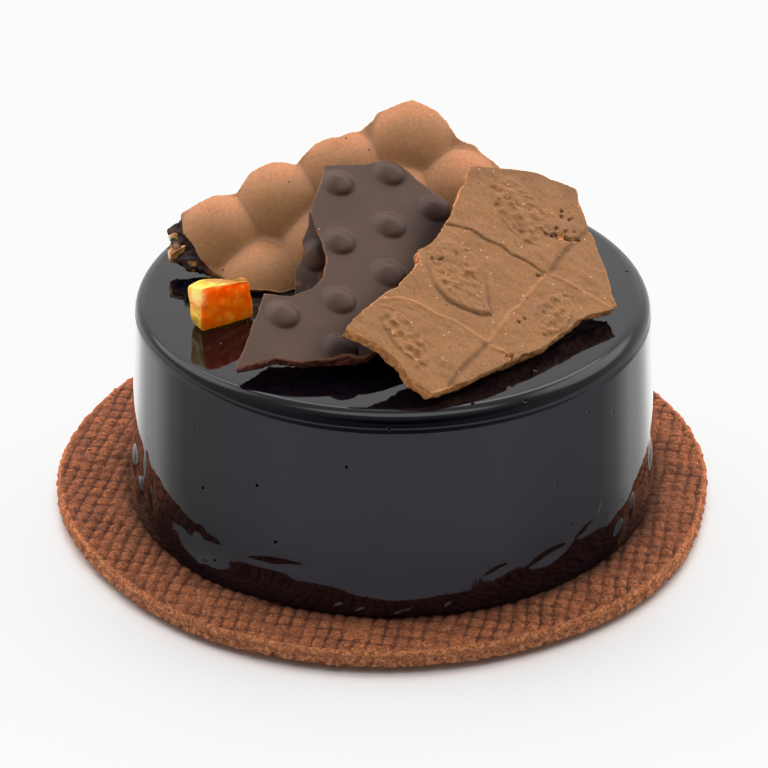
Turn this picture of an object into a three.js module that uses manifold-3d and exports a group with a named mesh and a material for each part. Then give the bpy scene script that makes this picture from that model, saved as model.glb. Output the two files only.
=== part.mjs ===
// A single-portion chocolate cake: a round mousse cake under dark mirror glaze, standing on a
// cocoa biscuit disc, topped with three broken pieces of moulded chocolate, a small dark chip
// and a cube of candied orange peel. Millimetres, +Z up. The origin is the centre of the
// biscuit's underside; the front, where the glaze ran out furthest, faces -Y.

import * as THREE from "three";
import { mergeVertices } from "three/addons/utils/BufferGeometryUtils.js";
import Module from "manifold-3d";

const wasm = await Module();
wasm.setup();

// ---- driving dimensions ----------------------------------------------------------------

const GAP = 0.3; // clearance kept between pieces that lie on each other

const biscuit = {
  radius: 52.4, thickness: 3.7,
  edgeRound: 1.1, edgeSteps: 3,
  footChamfer: 0.5, // the lower edge is only slightly rounded
  segments: 80,
};
// The disc was cut by hand: places (degrees) where its edge stands out or in, and how widely.
const biscuitOutOfRound = [
  { at: 180, by: 0.5, spread: 16 },
  { at: 216, by: -0.5, spread: 14 },
  { at: 318, by: 0.45, spread: 16 },
  { at: 346, by: -0.4, spread: 10 },
];

const cake = {
  centre: new THREE.Vector2(1.4, -1.2), // it stands a little off the disc's centre
  height: 32.9, // above the biscuit
  topRadius: 40,
  wallFootRadius: 42.1, // the glaze is thicker lower down
  wallSteps: [0.3, 0.55, 0.8], // shares of the height
  rimRound: 2.6, rimSteps: 4,
  footHeight: 1.9, // the glaze pools outwards over this height
  footRadius: 42.5,
  // The rounded lip of the pool: how far in from the foot radius, at which height.
  footLip: [[0.4, GAP], [0, 0.7], [0.1, 1.3]],
  lobeFade: 3.2, // the runs' spread has died away at this height
  segments: 80,
};
// Runs of glaze that spread further over the biscuit, or less far.
const footLobes = [
  { at: 190, by: 0.6, spread: 14 },
  { at: 227, by: 2.1, spread: 8 },
  { at: 269, by: 1.0, spread: 9 },
  { at: 300, by: -0.6, spread: 12 },
  { at: 322, by: 0.3, spread: 6 },
  { at: 345, by: -0.6, spread: 12 },
];

const glazeTop = biscuit.thickness + cake.height;
const restHeight = glazeTop + GAP; // what lies on the glaze starts here

// Each piece of chocolate is drawn flat, its moulded face at z = 0 and its broken outline
// counter-clockwise from the corner given by "at", and then turned to its heading, tilted up
// and set down on the glaze. "at" is measured from the glaze top.
const milkSlab = {
  at: new THREE.Vector3(-30, 1, 2.2), heading: 0, tilt: 42, thickness: 2.6, roughness: 0.3,
  outline: [
    [-1.2, 5.7], [1.5, 1.3], [3.6, -1], [6.9, -2.4], [26, -2.6], [44, -2.4], [46.8, 6],
    [48.4, 16.6], [44.6, 20.6], [41.6, 22], [38.6, 26], [34.5, 28.5], [28.8, 26.1],
    [26.6, 23.2], [19, 20.6], [16, 17.5], [12.5, 17.4], [8.6, 15.8], [6.6, 12.6], [3.3, 11.7],
    [-2.1, 9],
  ],
  // Under its left end the shard is torn and reaches out further, between these depths.
  tornEnd: {
    bottom: -2.4, top: -0.9,
    outline: [
      [-4.1, 6.9], [-3.3, 5.2], [-3.5, 3.4], [-3, 1.5], [-0.6, 0.4], [2.2, -0.4], [5, -1.6],
      [6, 2], [4, 7], [-1.6, 8.6],
    ],
  },
  dome: { height: 2.5, turn: 0, sides: 20 },
  domes: [ // centre and rim radius
    [4.2, 6.4, 6.1], [13.4, 11.8, 6.4], [23.4, 17.2, 6.3], [34.5, 22.3, 6.6], [42, 13.8, 6.3],
    [10.7, -1.7, 6.1], [20.6, 4.2, 6.4], [32, 11.2, 6.4], [28.6, -0.6, 6.3], [39.7, 3.6, 6.4],
  ],
  // Roasted nut bits that stand out of the torn end: place, half-length, turn in degrees.
  nuts: [
    { at: [-2.4, 3.5, -1.4], halfLength: 1.8, turn: 70 },
    { at: [0, 0.9, -1.6], halfLength: 1.3, turn: 20 },
    { at: [-3, 5.6, -1.3], halfLength: 1, turn: 100 },
  ],
  nutWidth: 0.8, nutHeight: 0.6, // as shares of the length
};

const darkSlab = {
  at: new THREE.Vector3(-20.4, -29.4, 3.4), heading: 2.4, tilt: 17.6, thickness: 1.9, roughness: 0.2,
  outline: [
    [-1.2, -2.5], [4.8, -0.5], [8.2, -1.5], [17.9, -0.6], [20.5, 2.2], [25, 8.5], [29.3, 16],
    [31.7, 25.6], [32, 31.3], [29.6, 33.5], [24.7, 40.2], [22.4, 41.6], [18.9, 40.5],
    [12.9, 40.5], [12.1, 36.8], [10.9, 32.6], [10.4, 29.1], [12.1, 22.6], [12.5, 19.4],
    [11.9, 16], [10.1, 13.5], [7.2, 12.1], [3.1, 12.7], [1.8, 7.8],
  ],
  bump: { halfLength: 3.2, halfWidth: 2.3, height: 0.9, turn: 138, sides: 16 },
  bumps: [
    [14.6, 36.5], [22.7, 38.6], [29.3, 30.3], [22.3, 26.9], [14.4, 23.6], [21.6, 16.5],
    [14.1, 11.1], [5.7, 8.4], [14, 1.3],
  ],
};

const podSlab = {
  at: new THREE.Vector3(7.6, -38.2, 2.5), heading: 42.4, tilt: 26, thickness: 2.4, roughness: 0.25,
  outline: [
    [-0.9, 0.2], [6.3, -0.4], [21.1, -0.6], [31.8, 1.1], [37.6, 0.3], [40.9, 6.2], [43.5, 11.9],
    [46.3, 18.9], [48.4, 21.6], [46.5, 24], [44.3, 27], [39.2, 30.5], [34.8, 32.6], [33, 31.5],
    [28, 28.3], [23.3, 25], [19.2, 23], [15.1, 22.5], [13.8, 20.7], [7.1, 18.2], [1.5, 17.4],
    [-5.2, 15.3], [-2.5, 10.8], [-1.8, 7.4], [-2.3, 3.8],
  ],
  groove: { width: 1, depth: 0.35 },
  // The mould's panels are marked off by shallow lines, from edge to edge.
  panelLines: [
    [[3.9, 0.7], [13.8, 4]], [[13.8, 4], [32.8, 9.9]], [[32.8, 9.9], [46, 14.6]],
    [[37.6, -0.9], [32.8, 9.9]], [[32.8, 9.9], [23.6, 27]],
    [[15.8, -1.4], [13.8, 4]], [[13.8, 4], [4.6, 19]],
  ],
  // One raised cocoa fruit with ribs along it in each panel, turned by so many degrees.
  fruits: [
    { at: [17.8, 14.6], halfLength: 7.2, halfWidth: 4.4, turn: 84 },
    { at: [36, 22], halfLength: 7.2, halfWidth: 4.1, turn: 66 },
    { at: [2.2, 10.4], halfLength: 6.4, halfWidth: 2.5, turn: 85 },
    { at: [27, 3.4], halfLength: 5.3, halfWidth: 2.6, turn: 28 },
  ],
  fruitHeight: 0.4,
  // The ribs' places and half-width are shares of the fruit's half-width.
  ribs: { places: [-0.55, 0, 0.55], halfWidth: 0.17, height: 0.7 },
  // Hollows where the face has crumbled away: place, size and turn.
  crumbled: [[39, 15.1, 1.3, 25], [40.4, 13.4, 0.9, -20], [37.2, 16.2, 0.8, 25], [14.6, 0.2, 1.1, 35]],
};

const chip = {
  at: new THREE.Vector3(-10.9, -2.1, 5.9), heading: -5, tilt: 35, thickness: 1.4, roughness: 0.2,
  outline: [
    [-2.4, -8.6], [3.4, -8.2], [4, -2], [4, 4], [2.6, 7.4], [-1.5, 7.6], [-1.5, 5], [-2.1, 2.2],
    [-1.2, 1], [-2.6, -2.5],
  ],
  bump: { halfLength: 2.8, halfWidth: 2.2, height: 0.8, turn: 100, sides: 16 },
  bumps: [[0.3, 0.2]],
};

// Its corners as [x, y, height above the foot], counter-clockwise from the near left one.
const orangeCube = {
  foot: [[-27.5, -16.5, 0], [-19.6, -11.6, 0], [-21.3, -8.7, 0], [-29.2, -13.7, 0]],
  top: [[-26.9, -16, 7.1], [-20.3, -11.5, 6.2], [-20.9, -8.9, 5.4], [-29.7, -13.7, 6.2]],
  steps: [6, 4, 5],
  crest: { at: -0.4, by: 1, spread: 0.6 }, // the far edge of the top stands up there
  softness: 0.05, // how far the edges are drawn in, as a share of the half-size
  edgePower: 6, // and how sharp they stay
};

// ---- materials -------------------------------------------------------------------------

function food(color, roughness) {
  return new THREE.MeshStandardMaterial({ color, roughness, metalness: 0 });
}
const materials = {
  biscuit: food(0x7a4330, 0.9),
  glaze: food(0x0b0b0f, 0.08),
  milkChocolate: food(0xa06a48, 0.45),
  darkChocolate: food(0x3a211c, 0.4),
  candiedOrange: food(0xd9761a, 0.3),
};

// ---- shared helpers --------------------------------------------------------------------

const radians = THREE.MathUtils.degToRad;

// Small repeatable random numbers between -1 and 1.
function unevenness(seed) {
  let state = seed;
  return () => {
    state = (state * 16807) % 2147483647;
    return (2 * state) / 2147483647 - 1;
  };
}

function toSolid(geometry) {
  const bare = geometry.clone();
  bare.deleteAttribute("normal");
  bare.deleteAttribute("uv");
  const merged = mergeVertices(bare);
  return new wasm.Manifold(new wasm.Mesh({
    numProp: 3,
    vertProperties: new Float32Array(merged.attributes.position.array),
    triVerts: new Uint32Array(merged.index.array),
  }));
}

function toGeometry(solid) {
  const mesh = solid.getMesh();
  const geometry = new THREE.BufferGeometry();
  geometry.setAttribute("position", new THREE.BufferAttribute(mesh.vertProperties, 3));
  geometry.setIndex(new THREE.BufferAttribute(mesh.triVerts, 1));
  return geometry;
}

function namedMesh(name, geometry, material) {
  const mesh = new THREE.Mesh(geometry, material);
  mesh.name = name;
  return mesh;
}

// Sum of smooth bulges round a circle, at an angle in degrees.
function bulgeAt(bulges, angle) {
  return bulges.reduce((sum, { at, by, spread }) => {
    const away = ((angle - at + 540) % 360) - 180;
    return sum + by * Math.exp(-((away / spread) ** 2));
  }, 0);
}

// A body turned from a profile of [radius, height] pairs, whose radius then changes with the
// angle by reach(angle, height); points on the axis stay there.
function unevenRound(profile, segments, reach) {
  const points = profile.map(([r, z]) => new THREE.Vector2(r, z));
  const geometry = new THREE.LatheGeometry(points, segments);
  geometry.rotateX(Math.PI / 2);
  const position = geometry.attributes.position;
  for (let i = 0; i < position.count; i++) {
    const x = position.getX(i);
    const y = position.getY(i);
    const radius = Math.hypot(x, y);
    if (radius < 1e-6) continue;
    const angle = THREE.MathUtils.euclideanModulo(THREE.MathUtils.radToDeg(Math.atan2(y, x)), 360);
    const scale = 1 + reach(Math.round(angle * 100) / 100, position.getZ(i), radius) / radius;
    position.setXY(i, x * scale, y * scale);
  }
  return geometry;
}

// Quarter-round from (r, z) on the wall to the flat above it, as profile points.
function quarterRound(radius, top, round, steps) {
  return Array.from({ length: steps + 1 }, (_, i) => {
    const turn = (i / steps) * (Math.PI / 2);
    return [radius - round + round * Math.cos(turn), top - round + round * Math.sin(turn)];
  });
}

// Walks round a broken outline in short steps and moves each point in or out a little.
const EDGE_STEP = 2.2;
function brokenEdge(corners, inset, roughness, random) {
  const points = [];
  corners.forEach((corner, k) => {
    const from = new THREE.Vector2(...corner);
    const to = new THREE.Vector2(...corners[(k + 1) % corners.length]);
    const along = to.clone().sub(from);
    const outward = new THREE.Vector2(along.y, -along.x).normalize();
    const count = Math.max(1, Math.round(along.length() / EDGE_STEP));
    for (let i = 0; i < count; i++) {
      const out = roughness * random() - inset;
      points.push(from.clone().addScaledVector(along, i / count).addScaledVector(outward, out));
    }
  });
  return points;
}

// A closed body between rings of equal point count, given bottom ring first.
function closedRings(rings) {
  const count = rings[0].points.length;
  const positions = rings.flatMap(({ points, z }) => points.flatMap((p) => [p.x, p.y, z]));
  const index = [];
  for (let ring = 0; ring < rings.length - 1; ring++) {
    for (let i = 0; i < count; i++) {
      const a = ring * count + i;
      const b = ring * count + ((i + 1) % count);
      index.push(a, b, b + count, a, b + count, a + count);
    }
  }
  const topStart = (rings.length - 1) * count;
  for (const [a, b, c] of THREE.ShapeUtils.triangulateShape(rings[0].points, [])) {
    index.push(c, b, a);
  }
  for (const [a, b, c] of THREE.ShapeUtils.triangulateShape(rings.at(-1).points, [])) {
    index.push(topStart + a, topStart + b, topStart + c);
  }
  const geometry = new THREE.BufferGeometry();
  geometry.setAttribute("position", new THREE.Float32BufferAttribute(positions, 3));
  geometry.setIndex(index);
  return toSolid(geometry);
}

// The prism that a piece breaks out along. Its side is roughest half way down and slants
// inwards below; each ring has its share of the depth, how far in it is and its roughness.
const BROKEN_SIDE = [
  { depth: 1, inset: 0.35, rough: 1.2 },
  { depth: 0.5, inset: 0.1, rough: 1.6 },
  { depth: 0, inset: 0, rough: 1 },
];
const ABOVE_RELIEF = 4;
function brokenPrism({ outline, thickness, roughness }, random) {
  const rings = BROKEN_SIDE.map(({ depth, inset, rough }) => (
    { points: brokenEdge(outline, inset, rough * roughness, random), z: -depth * thickness }
  ));
  return closedRings([...rings, { points: rings.at(-1).points, z: ABOVE_RELIEF }]);
}

// A flat layer wide enough for any piece, from z = -thickness up to z = 0.
const LAYER_WIDTH = 160;
function flatLayer(thickness) {
  const layer = new THREE.BoxGeometry(LAYER_WIDTH, LAYER_WIDTH, thickness);
  layer.translate(0, 0, -thickness / 2);
  return layer;
}

// Turns a shape by so many degrees about Z and moves it to its place.
function placed(geometry, [x, y, z = 0], turn) {
  geometry.rotateZ(radians(turn));
  geometry.translate(x, y, z);
  return toSolid(geometry);
}

// A round or oval cap that stands out of the moulded face: the top of a stretched ball.
const RINGS_PER_SIDE = 0.8;
function cap(at, { halfLength, halfWidth, height, turn, sides }) {
  const radius = (halfLength ** 2 + height ** 2) / (2 * height);
  const ball = new THREE.SphereGeometry(radius, sides, Math.round(RINGS_PER_SIDE * sides));
  ball.rotateX(Math.PI / 2);
  ball.translate(0, 0, height - radius);
  ball.scale(1, halfWidth / halfLength, 1);
  return placed(ball, at, turn);
}

// A lying grain shape, long along x before it is turned.
const GRAIN_SIDES = 12;
function grain(at, halfLength, halfWidth, halfHeight, turn) {
  const ball = new THREE.SphereGeometry(1, GRAIN_SIDES, GRAIN_SIDES / 2);
  ball.scale(halfLength, halfWidth, halfHeight);
  return placed(ball, at, turn);
}

// Sets a piece on the cake and trims it where it meets the glaze.
const TRIM_DEPTH = 20;
function setDown(name, solid, { at, heading, tilt }, material) {
  const place = new THREE.Object3D();
  place.rotation.set(radians(tilt), 0, radians(heading), "ZYX");
  place.position.set(at.x, at.y, glazeTop + at.z);
  place.updateMatrix();
  const below = flatLayer(TRIM_DEPTH);
  below.translate(0, 0, restHeight);
  below.applyMatrix4(place.matrix.clone().invert());
  const mesh = namedMesh(name, toGeometry(solid.subtract(toSolid(below))), material);
  mesh.position.copy(place.position);
  mesh.rotation.copy(place.rotation);
  return mesh;
}

// ---- the pieces ------------------------------------------------------------------------

function biscuitBase() {
  const { radius, thickness, edgeRound, edgeSteps, footChamfer, segments } = biscuit;
  const profile = [
    [0, 0], [radius - footChamfer, 0], [radius, footChamfer],
    ...quarterRound(radius, thickness, edgeRound, edgeSteps), [0, thickness],
  ];
  const reach = (angle) => bulgeAt(biscuitOutOfRound, angle);
  return namedMesh("biscuit_base", unevenRound(profile, segments, reach), materials.biscuit);
}

function glazedCake() {
  const { centre, height, topRadius, wallFootRadius, footRadius, lobeFade } = cake;
  const wallAt = (z) => [THREE.MathUtils.lerp(wallFootRadius, topRadius, z / height), z];
  const lip = cake.footLip.map(([inset, z]) => [footRadius - inset, z]);
  const profile = [
    [0, GAP], ...lip, wallAt(cake.footHeight), ...cake.wallSteps.map((share) => wallAt(share * height)),
    ...quarterRound(topRadius, height, cake.rimRound, cake.rimSteps), [0, height],
  ];
  const reach = (angle, z, radius) => {
    const share = Math.max(0, 1 - z / lobeFade) * Math.min(1, radius / footRadius);
    return bulgeAt(footLobes, angle) * share;
  };
  const mesh = namedMesh("glazed_cake", unevenRound(profile, cake.segments, reach), materials.glaze);
  mesh.position.set(centre.x, centre.y, biscuit.thickness);
  return mesh;
}

function milkBubbleShard() {
  const random = unevenness(11);
  let body = toSolid(flatLayer(milkSlab.thickness));
  for (const [x, y, rimRadius] of milkSlab.domes) {
    body = body.add(cap([x, y], { ...milkSlab.dome, halfLength: rimRadius, halfWidth: rimRadius }));
  }
  body = body.intersect(brokenPrism(milkSlab, random));
  const { bottom, top, outline } = milkSlab.tornEnd;
  body = body.add(closedRings([bottom, top].map((z) => (
    { points: brokenEdge(outline, 0, milkSlab.roughness, random), z }
  ))));
  for (const { at, halfLength, turn } of milkSlab.nuts) {
    const { nutWidth, nutHeight } = milkSlab;
    body = body.add(grain(at, halfLength, nutWidth * halfLength, nutHeight * halfLength, turn));
  }
  return setDown("milk_bubble_shard", body, milkSlab, materials.milkChocolate);
}

// A thin broken piece with small raised ovals.
function bumpedPiece(name, slab, seed) {
  let body = toSolid(flatLayer(slab.thickness));
  for (const at of slab.bumps) {
    body = body.add(cap(at, slab.bump));
  }
  body = body.intersect(brokenPrism(slab, unevenness(seed)));
  return setDown(name, body, slab, materials.darkChocolate);
}

// A bar with a diamond section along the panel line, sunk to the groove's depth.
function grooveCutter([from, to]) {
  const { width, depth } = podSlab.groove;
  const start = new THREE.Vector2(...from);
  const along = new THREE.Vector2(...to).sub(start);
  const bar = new THREE.BoxGeometry(along.length() + width, 1, 1);
  bar.rotateX(Math.PI / 4);
  bar.scale(1, width / Math.SQRT2, depth * Math.SQRT2);
  bar.translate(along.length() / 2, 0, 0);
  return placed(bar, from, THREE.MathUtils.radToDeg(along.angle()));
}

// A cocoa fruit in low relief: a long oval with ribs along it.
function cocoaFruit({ at, halfLength, halfWidth, turn }) {
  const { fruitHeight, ribs } = podSlab;
  const across = new THREE.Vector2(0, halfWidth).rotateAround(new THREE.Vector2(), radians(turn));
  let fruit = grain(at, halfLength, halfWidth, fruitHeight, turn);
  for (const side of ribs.places) {
    const [x, y] = new THREE.Vector2(...at).addScaledVector(across, side);
    const ribLength = halfLength * Math.sqrt(1 - side ** 2);
    fruit = fruit.add(grain([x, y], ribLength, ribs.halfWidth * halfWidth, ribs.height, turn));
  }
  return fruit;
}

function milkPodShard() {
  let body = toSolid(flatLayer(podSlab.thickness));
  for (const line of podSlab.panelLines) {
    body = body.subtract(grooveCutter(line));
  }
  for (const fruit of podSlab.fruits) {
    body = body.add(cocoaFruit(fruit));
  }
  for (const [x, y, size, turn] of podSlab.crumbled) {
    body = body.subtract(grain([x, y], size, size / 2, size / 2, turn));
  }
  body = body.intersect(brokenPrism(podSlab, unevenness(51)));
  return setDown("milk_pod_shard", body, podSlab, materials.milkChocolate);
}

function candiedOrangeCube() {
  const { foot, top, steps, crest, softness, edgePower } = orangeCube;
  const geometry = new THREE.BoxGeometry(2, 2, 2, ...steps);
  const position = geometry.attributes.position;
  // The place between four corners, for u and v from -1 to 1.
  const between = ([a, b, c, d], u, v) => {
    const near = new THREE.Vector3(...a).lerp(new THREE.Vector3(...b), (u + 1) / 2);
    const far = new THREE.Vector3(...d).lerp(new THREE.Vector3(...c), (u + 1) / 2);
    return near.lerp(far, (v + 1) / 2);
  };
  for (let i = 0; i < position.count; i++) {
    const [u, v, w] = new THREE.Vector3().fromBufferAttribute(position, i);
    const kept = (a, b) => 1 - softness * (Math.abs(a) ** edgePower + Math.abs(b) ** edgePower);
    const [across, inward] = [u * kept(v, w), v * kept(u, w)];
    const raised = (w * (w > 0 ? kept(u, v) : 1) + 1) / 2; // 0 at the foot, 1 at the top
    const place = between(foot, across, inward).lerp(between(top, across, inward), raised);
    const crested = Math.exp(-(((u - crest.at) / crest.spread) ** 2)) * Math.max(0, v);
    position.setXYZ(i, place.x, place.y, place.z + crest.by * crested * raised);
  }
  const mesh = namedMesh("candied_orange_cube", geometry, materials.candiedOrange);
  mesh.position.set(0, 0, restHeight);
  return mesh;
}

const portion = new THREE.Group();
portion.add(
  biscuitBase(),
  glazedCake(),
  milkBubbleShard(),
  bumpedPiece("dark_bubble_shard", darkSlab, 23),
  bumpedPiece("dark_chip", chip, 37),
  milkPodShard(),
  candiedOrangeCube(),
);

export default portion;
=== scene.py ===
"""A single-portion chocolate cake under mirror glaze, dressed over its solids.

Metres throughout; sizes are written in millimetres times MM. The front faces -Y.
"""
import math

import bmesh
import bpy
import numpy as np
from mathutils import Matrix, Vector


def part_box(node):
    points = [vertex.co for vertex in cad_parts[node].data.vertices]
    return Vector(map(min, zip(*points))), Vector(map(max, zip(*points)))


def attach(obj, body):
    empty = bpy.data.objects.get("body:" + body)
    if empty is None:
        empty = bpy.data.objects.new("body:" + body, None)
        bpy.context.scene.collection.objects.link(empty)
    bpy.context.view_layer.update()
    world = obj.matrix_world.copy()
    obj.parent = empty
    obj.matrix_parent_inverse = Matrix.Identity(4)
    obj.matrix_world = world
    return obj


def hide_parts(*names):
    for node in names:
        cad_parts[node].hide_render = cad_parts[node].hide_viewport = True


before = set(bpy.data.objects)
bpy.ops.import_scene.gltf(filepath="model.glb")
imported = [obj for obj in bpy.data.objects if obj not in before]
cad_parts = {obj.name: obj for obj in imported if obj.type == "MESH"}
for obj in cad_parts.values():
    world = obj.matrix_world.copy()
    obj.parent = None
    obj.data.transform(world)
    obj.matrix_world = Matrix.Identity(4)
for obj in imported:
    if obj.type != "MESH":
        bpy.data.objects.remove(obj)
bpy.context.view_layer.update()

MM = 0.001
BODY = "root"

# ---- places taken over from the solids ---------------------------------------------------

GLAZE_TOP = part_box("glazed_cake")[1].z
BISCUIT_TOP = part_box("biscuit_base")[1].z

BISCUIT_RADIUS = 52.4 * MM
BISCUIT_EDGE = 1.1 * MM  # rounding of its upper edge
# Where the disc's edge stands out or in: angle in degrees, millimetres, spread in degrees.
BISCUIT_BULGES = [(180, 0.5, 16), (216, -0.5, 14), (318, 0.45, 16), (346, -0.4, 10)]

CAKE_CENTRE = np.array([1.4, -1.2, 0]) * MM
CAKE_TOP_RADIUS = 40 * MM
CAKE_WALL_FOOT = 42.1 * MM
CAKE_FOOT = 42.5 * MM
RIM_ROUND = 2.6 * MM
# Where the rim is turned more sharply, and where the foot flares: angle in degrees,
# millimetres, spread in degrees.
RIM_SHARPER = (208, -1.3, 26)
FOOT_FLARE = (214, 0.55, 26)
# Runs of glaze that spread further over the biscuit, or less far, in the same terms.
FOOT_RUNS = [(190, 0.2, 14), (227, 0.25, 8), (269, 0.15, 9), (300, -0.6, 12), (322, 0.1, 6),
             (345, -0.6, 12)]

# How each piece of chocolate lies: a point of its moulded face above the glaze top (mm), its
# turn about the upright and its tilt up from the glaze (degrees).
SLABS = {
    "milk_bubble_shard": ((-30, 1, 2.2), 0, 42),
    "dark_bubble_shard": ((-20.4, -29.4, 3.4), 2.4, 17.6),
    "milk_pod_shard": ((7.6, -38.2, 2.5), 42.4, 26),
    "dark_chip": ((-10.9, -2.1, 5.9), -5, 35),
}
# Domes of the milk chocolate: centre and rim radius on the moulded face (mm).
MILK_DOMES = [
    (4.2, 6.4, 6.1), (13.4, 11.8, 6.4), (23.4, 17.2, 6.3), (34.5, 22.3, 6.6), (42, 13.8, 6.3),
    (10.7, -1.7, 6.1), (20.6, 4.2, 6.4), (32, 11.2, 6.4), (28.6, -0.6, 6.3), (39.7, 3.6, 6.4),
]
MILK_DOME_HEIGHT = 2.5
# Ovals of the dark chocolate: their centres, and the half-lengths, turn and height they share.
DARK_OVALS = [
    (14.6, 36.5), (22.7, 38.6), (29.3, 30.3), (22.3, 26.9), (14.4, 23.6), (21.6, 16.5),
    (14.1, 11.1), (5.7, 8.4), (14, 1.3),
]
DARK_OVAL = {"half": (2.95, 2.35), "turn": 118, "height": 1.1}
CHIP_OVALS = [(0.3, 0.2)]
CHIP_OVAL = {"half": (2.8, 2.2), "turn": 100, "height": 0.9}
# The dark chocolate gets painted shade towards the piece that lies over it, along this line.
OVERLAP_LINE = [(14.8, -0.5), (17.6, 2.8), (27.2, 15.5), (30.2, 27)]

# The other milk chocolate. Lines between its panels, as open runs of points: panels that
# stand a step higher on the far side, sunk lines and raised ones.
PANEL_STEP = [(22, 25.4), (24.1, 23.9), (25.8, 22.3), (26.6, 20), (28.2, 17.7), (28.8, 15.5),
              (30, 13.7), (31, 10.4)]
SUNK_LINES = [
    [(31.6, 9.9), (33.2, 10.5), (35.8, 11.8), (39, 12.8), (46, 14.6)],
    [(13.1, 3.5), (10.4, 2.7), (7.6, 2), (5, 1.1), (2.5, 0)],
]
RAISED_LINES = [
    [(31.7, 10.1), (33.2, 7.7), (34.6, 4.4), (36.6, 0)],
    [(31, 10), (28.1, 9.1), (24.9, 8), (23.1, 7.1), (20.4, 6.8), (18.3, 5.7), (13.4, 3.8)],
    [(3.3, 17.3), (5.9, 16.4), (7.5, 15.2), (8.7, 13), (9.5, 11.2), (10.9, 9.7), (11.8, 7.8),
     (13.2, 3.6)],
    [(13.1, 3.3), (14.2, 1.7), (15, -0.4)],
]
# The leaf-shaped fruit stands up from its panel, most steeply at its lower left edge.
LEAF = [(14.6, 20.1), (13.6, 18.4), (12.8, 14.9), (12.9, 12.8), (14.1, 10.5), (15.7, 8.6),
        (17.5, 7.6), (18.4, 9.6), (20, 11.7), (21.3, 13.9), (22.6, 16.5), (23, 19), (21.7, 21.1),
        (19.7, 22.4), (17.2, 21.9)]
# The other fruits: centre, half-length, half-width, turn.
FRUITS = [(36, 22, 7.2, 4.1, 66), (2.2, 10.4, 6.4, 2.5, 85), (27, 3.4, 5.3, 2.6, 28)]
# Dents between the fruits' knobs: centre, half-length, half-width, turn, depth.
DENTS = [
    (35.4, 27.1, 1.3, 0.55, 120, 0.5), (33.2, 24.2, 0.7, 0.5, 60, 0.4),
    (32.9, 22.3, 1.0, 0.6, 70, 0.45), (38.1, 27.1, 0.7, 0.4, 100, 0.3),
    (36.6, 23.9, 0.8, 0.5, 60, 0.35), (35.4, 21.9, 0.7, 0.5, 60, 0.35),
    (32.7, 20, 0.9, 0.5, 80, 0.4), (33, 18.3, 0.8, 0.5, 60, 0.4),
    (39, 23.5, 0.9, 0.4, 60, 0.3), (38.3, 22, 0.6, 0.4, 60, 0.3),
    (38.7, 20.5, 0.7, 0.5, 100, 0.35), (35.9, 18.8, 0.8, 0.5, 60, 0.35),
    (34, 16.5, 0.9, 0.6, 80, 0.4), (41.1, 26.7, 0.7, 0.4, 40, 0.25),
    (18.8, 16.9, 0.8, 0.5, 90, 0.3), (18.6, 15.1, 0.7, 0.5, 60, 0.3),
    (18.4, 12.6, 1.2, 0.4, 80, 0.25), (20, 19.2, 0.8, 0.4, 60, 0.3), (17.2, 14, 0.7, 0.4, 80, 0.2),
    (3.1, 15.1, 0.9, 0.5, 90, 0.35), (1.6, 14, 0.7, 0.5, 60, 0.3), (1.7, 12.5, 0.9, 0.5, 90, 0.35),
    (1.7, 10.8, 0.9, 0.5, 80, 0.3), (2.4, 9.7, 0.6, 0.4, 60, 0.3), (2.8, 7.9, 0.9, 0.5, 90, 0.4),
    (1.7, 6.3, 0.9, 0.6, 70, 0.35), (-0.1, 4.4, 0.7, 0.5, 70, 0.3),
    (25.2, 4.7, 1.9, 0.75, 28, 0.5), (28.6, 5, 0.7, 0.45, 30, 0.35), (27, 2.7, 0.9, 0.5, 30, 0.35),
    (23.1, 1.6, 0.8, 0.45, 60, 0.3), (24.8, 2.1, 0.8, 0.4, 20, 0.3),
]
# Small deep pits where the face has crumbled, and the broken hollow at the right.
PITS = [  # centre and size
    (29.8, 10.3, 0.55), (16, 20.3, 0.4), (17.3, 19.5, 0.5), (22.4, 19.2, 0.5), (42.6, 17.2, 0.5),
    (42.6, 19, 0.35), (20.5, 4.7, 0.3), (21.8, 4.9, 0.3), (14.6, 0.2, 0.9), (36.9, 16.4, 0.5),
    (37.8, 16, 0.6), (38.6, 15.4, 0.7), (39.3, 14.6, 0.6), (40, 14, 0.7), (40.9, 13.4, 0.5),
    (38.1, 14.8, 0.45), (39.2, 16.6, 0.4), (40.4, 15.6, 0.4), (41.6, 15, 0.4), (41.8, 18.2, 0.4),
]
# The upper edge, which is a little darker.
TOP_BAND = [(47.7, 21.6), (46.8, 23.1), (43.9, 26.9), (38.8, 29.8), (34, 32)]

# The orange's corners (mm, height above its foot), counter-clockwise from the near left one,
# a crest on its top edge (place along it, millimetres, spread) and how round its edges are.
PEEL = {
    "foot": [(-27.5, -16.5, 0), (-19.6, -11.6, 0), (-21.3, -8.7, 0), (-29.2, -13.7, 0)],
    "top": [(-26.9, -16, 7.1), (-20.3, -11.5, 6.2), (-20.9, -8.9, 5.4), (-29.7, -13.7, 6.2)],
    "crest": (-0.4, 1.0, 0.6), "softness": 0.05,
}

# Larger loose crumbs on the biscuit: place and size (mm).
LOOSE_CRUMBS = [
    (-1.7, -49.6, 1.0), (3.2, -51.2, 0.6), (-5.5, -50.3, 0.8), (-4.5, -51.3, 0.7),
    (-3.2, -50.6, 0.6), (-50.1, -13.2, 0.7), (-49.5, -11.7, 0.5), (-48.3, 4.4, 0.5),
    (-0.6, -50.9, 0.5), (6.8, -50.4, 0.4), (-46.2, -19.5, 0.4), (-30.1, -38.2, 0.4),
]

# Nut pieces in the torn end: place on the slab, half-length (mm) and turn (degrees) of each.
NUTS = [((-2.3, 2.7, -1.3), 2, 70), ((0, 0.9, -1.6), 1.3, 20), ((-3, 5.6, -1.3), 1, 100)]

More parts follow.
